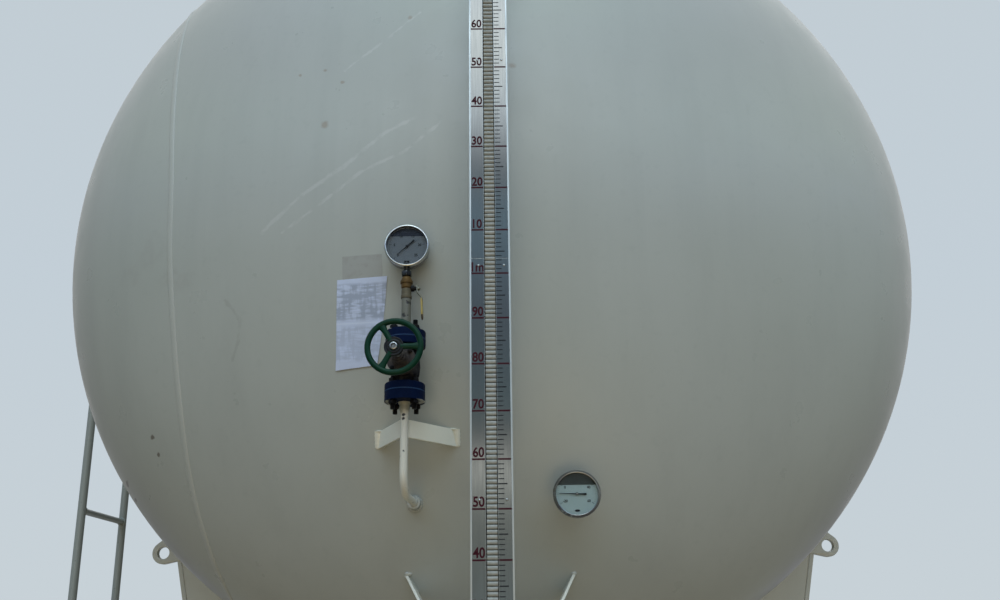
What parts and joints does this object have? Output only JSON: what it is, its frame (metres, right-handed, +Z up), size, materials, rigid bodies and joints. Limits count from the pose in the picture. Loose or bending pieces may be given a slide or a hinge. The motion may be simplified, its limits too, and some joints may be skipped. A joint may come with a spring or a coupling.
{
  "type": "horizontal gas storage tank",
  "caption": "Horizontal dished-end pressure tank for liquefied gas on steel saddles, with a front level gauge, gauge line with valves, thermometer, ladder and lifting lugs.",
  "frame": {"origin": "centre of the front saddle base plate, on its underside, at ground level", "axes": "+X to the right when facing the instrument head, +Y along the tank away from that head, +Z up"},
  "size_m": [2.714, 6.4347, 3.39],
  "materials": {
    "cream_paint": "satin cream paint with rub marks",
    "ladder_paint": "satin grey-cream paint",
    "gauge_steel": "polished stainless steel",
    "flap_plastic": "cream flaps with dark gaps",
    "blue_paint": "satin dark blue paint",
    "valve_iron": "dark weathered casting",
    "stem_steel": "turned steel",
    "green_paint": "gloss green paint",
    "chipped_pipe": "cream paint with dark chips",
    "valve_brass": "tarnished brass",
    "lever_yellow": "steel lever with a yellow sleeve",
    "dial_case_steel": "bright stainless case",
    "dial_face": "printed dial with plain numbers",
    "dial_glass": "flat clear glass",
    "scale_print": "dark red and black printed scale",
    "black_bolts": "blackened studs and nuts",
    "clear_tape": "dull adhesive tape",
    "paper": "matt printed paper without words"
  },
  "bodies": {
    "root": {"front_head": "cream_paint", "front_course": "cream_paint", "rear_course": "cream_paint", "rear_head": "cream_paint", "front_saddle_wear_plate": "cream_paint", "front_saddle_web": "cream_paint", "front_saddle_base_plate": "cream_paint", "front_saddle_left_rib": "cream_paint", "front_saddle_right_rib": "cream_paint", "front_saddle_left_lug": "cream_paint", "front_saddle_right_lug": "cream_paint", "rear_saddle_wear_plate": "cream_paint", "rear_saddle_web": "cream_paint", "rear_saddle_base_plate": "cream_paint", "rear_saddle_left_rib": "cream_paint", "rear_saddle_right_rib": "cream_paint", "rear_saddle_left_lug": "cream_paint", "rear_saddle_right_lug": "cream_paint", "level_gauge_upper_branch": "cream_paint", "level_gauge_lower_branch": "cream_paint", "level_gauge_left_strut": "cream_paint", "level_gauge_right_strut": "cream_paint", "pressure_boss": "cream_paint", "pressure_pipe": "cream_paint", "pipe_bracket": "cream_paint", "thermometer_boss": "cream_paint", "manhole_neck": "cream_paint", "manhole_cover": "cream_paint", "relief_valve": "cream_paint", "ladder": "ladder_paint", "ladder_front_standoff": "ladder_paint", "ladder_rear_standoff": "ladder_paint", "level_gauge_chamber": "gauge_steel", "level_gauge_frame": "gauge_steel", "level_gauge_flap_column": "flap_plastic", "lower_flange": "blue_paint", "upper_flange": "blue_paint", "globe_valve_body": "valve_iron", "globe_valve_bonnet": "valve_iron", "riser_pipe": "chipped_pipe", "ball_valve": "valve_brass", "pressure_gauge": "dial_case_steel", "thermometer": "dial_case_steel", "inspection_sheet": "paper"},
    "handwheel": {"handwheel": "green_paint", "globe_valve_stem": "stem_steel"},
    "ball_valve_lever": {"ball_valve_lever": "lever_yellow"}
  },
  "joints": [
    {"name": "handwheel_turn", "type": "hinge", "parent": "root", "child": "handwheel", "pos_m": [-0.192, -0.97, 1.186], "axis": [-0.0523, -0.9986, 0], "range_deg": [-540, 540]},
    {"name": "ball_valve_lever_turn", "type": "hinge", "parent": "root", "child": "ball_valve_lever", "pos_m": [-0.169, -0.97, 1.372], "axis": [-1, 0, 0], "range_deg": [0, 90]}
  ]
}
